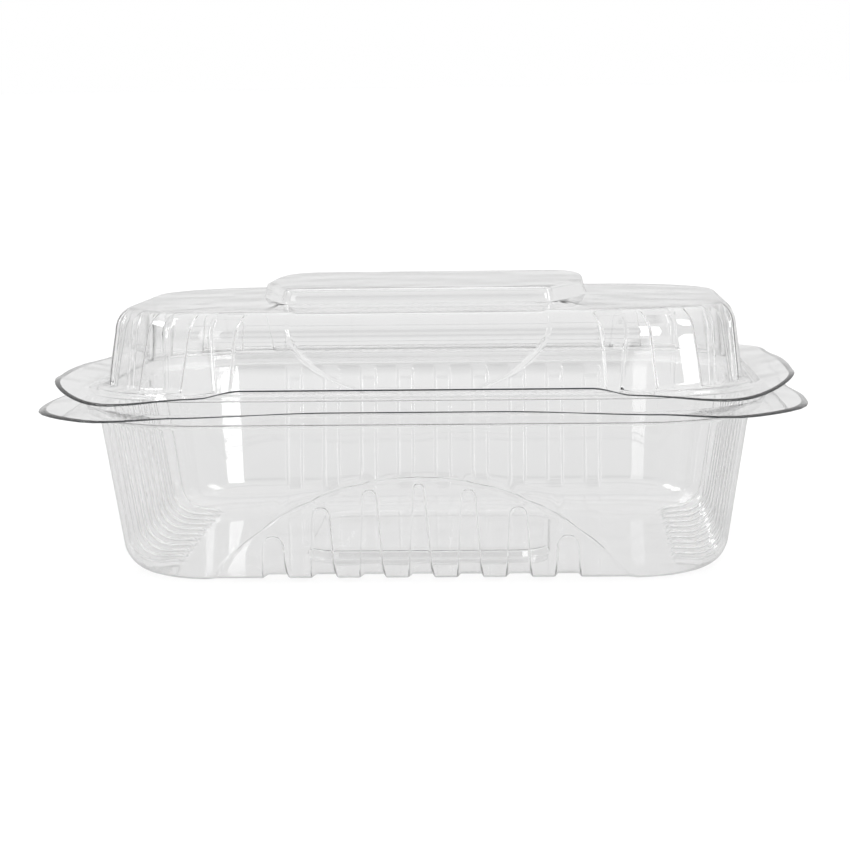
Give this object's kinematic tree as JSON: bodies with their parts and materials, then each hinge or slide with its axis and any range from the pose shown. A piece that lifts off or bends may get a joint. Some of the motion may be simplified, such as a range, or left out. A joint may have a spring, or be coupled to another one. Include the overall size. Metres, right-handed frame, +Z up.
{
  "type": "takeaway food container",
  "caption": "Clear plastic hinged takeaway container: a ribbed tub with a wide flange and a domed lid on a living hinge.",
  "frame": {"origin": "on the ground, under the middle of the whole container's box", "axes": "+Z up, -Y towards the opening front, +Y towards the hinge, +X to the right seen from the front"},
  "size_m": [0.19, 0.1543, 0.0702],
  "materials": {
    "clear_plastic": "clear glossy thermoformed plastic sheet"
  },
  "bodies": {
    "tub": {"tub": "clear_plastic"},
    "lid": {"lid": "clear_plastic"}
  },
  "joints": [
    {"name": "lid_hinge", "type": "hinge", "parent": "tub", "child": "lid", "pos_m": [0, 0.07733, 0.04335], "axis": [-1, 0, 0], "range_deg": [0, 178]}
  ]
}
